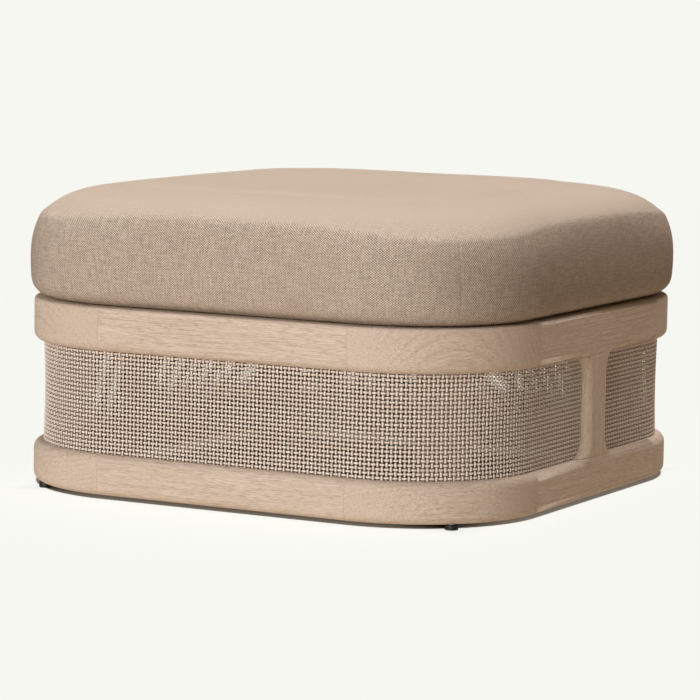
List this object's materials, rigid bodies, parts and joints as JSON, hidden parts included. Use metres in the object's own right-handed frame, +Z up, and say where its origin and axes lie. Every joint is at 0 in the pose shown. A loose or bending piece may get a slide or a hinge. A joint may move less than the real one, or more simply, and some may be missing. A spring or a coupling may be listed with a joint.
{
  "type": "outdoor ottoman footstool",
  "caption": "Square timber footstool with rounded corners, woven cane sides between two rails, a slatted deck and a loose boxed cushion that lifts off.",
  "frame": {"origin": "on the floor, under the centre of the footstool", "axes": "+Z up, the front towards -Y, the two flanks with a post at -X and +X"},
  "size_m": [0.825, 0.825, 0.4483],
  "materials": {
    "frame_timber": "pale brushed timber, matte",
    "deck_timber": "sawn timber, matte",
    "cane": "half-round synthetic cane, plain weave",
    "cover_fabric": "heathered plain weave",
    "cushion_foam": "open-cell foam",
    "zip_tape": "woven tape with nylon coil",
    "zip_metal": "satin",
    "insert_steel": "zinc plated",
    "glide_plastic": "black, moulded"
  },
  "bodies": {
    "frame": {"bottom_rail_right": "frame_timber", "bottom_rail_back": "frame_timber", "bottom_rail_left": "frame_timber", "bottom_rail_front": "frame_timber", "bottom_rail_back_right": "frame_timber", "bottom_rail_back_left": "frame_timber", "bottom_rail_front_left": "frame_timber", "bottom_rail_front_right": "frame_timber", "top_rail_right": "frame_timber", "top_rail_back": "frame_timber", "top_rail_left": "frame_timber", "top_rail_front": "frame_timber", "top_rail_back_right": "frame_timber", "top_rail_back_left": "frame_timber", "top_rail_front_left": "frame_timber", "top_rail_front_right": "frame_timber", "side_post_right": "frame_timber", "side_post_left": "frame_timber", "corner_post_back_right": "deck_timber", "corner_post_back_left": "deck_timber", "corner_post_front_left": "deck_timber", "corner_post_front_right": "deck_timber", "cane_panel_front": "cane", "cane_panel_back": "cane", "deck_slat_1": "deck_timber", "deck_slat_2": "deck_timber", "deck_slat_3": "deck_timber", "deck_slat_4": "deck_timber", "deck_slat_5": "deck_timber", "deck_slat_6": "deck_timber", "deck_slat_7": "deck_timber", "deck_cleat_front": "deck_timber", "deck_cleat_back": "deck_timber", "deck_bearer": "deck_timber", "glide_insert_back_right": "insert_steel", "glide_insert_back_left": "insert_steel", "glide_insert_front_left": "insert_steel", "glide_insert_front_right": "insert_steel"},
    "cushion": {"cushion_core": "cushion_foam", "cushion_top_panel": "cover_fabric", "cushion_bottom_panel": "cover_fabric", "cushion_band_right": "cover_fabric", "cushion_band_back": "cover_fabric", "cushion_band_left": "cover_fabric", "cushion_band_front": "cover_fabric", "zip_tape": "zip_tape"},
    "zip_slider": {"zip_slider": "zip_metal"},
    "zip_pull": {"zip_pull": "zip_metal"},
    "glide_back_right": {"glide_back_right": "glide_plastic"},
    "glide_back_left": {"glide_back_left": "glide_plastic"},
    "glide_front_left": {"glide_front_left": "glide_plastic"},
    "glide_front_right": {"glide_front_right": "glide_plastic"}
  },
  "joints": [
    {"name": "cushion_lift", "type": "slide", "parent": "frame", "child": "cushion", "axis": [0, 0, 1], "range_m": [0, 0.3]},
    {"name": "zip_run", "type": "slide", "parent": "cushion", "child": "zip_slider", "axis": [-1, 0, 0], "range_m": [0, 0.356]},
    {"name": "zip_pull_flip", "type": "hinge", "parent": "zip_slider", "child": "zip_pull", "pos_m": [0.178, 0.4093, 0.39302], "axis": [0, 0.2511, -0.968], "range_deg": [0, 170]},
    {"name": "level_back_right", "type": "slide", "parent": "frame", "child": "glide_back_right", "axis": [0, 0, -1], "range_m": [0, 0.006]},
    {"name": "level_back_left", "type": "slide", "parent": "frame", "child": "glide_back_left", "axis": [0, 0, -1], "range_m": [0, 0.006]},
    {"name": "level_front_left", "type": "slide", "parent": "frame", "child": "glide_front_left", "axis": [0, 0, -1], "range_m": [0, 0.006]},
    {"name": "level_front_right", "type": "slide", "parent": "frame", "child": "glide_front_right", "axis": [0, 0, -1], "range_m": [0, 0.006]}
  ]
}
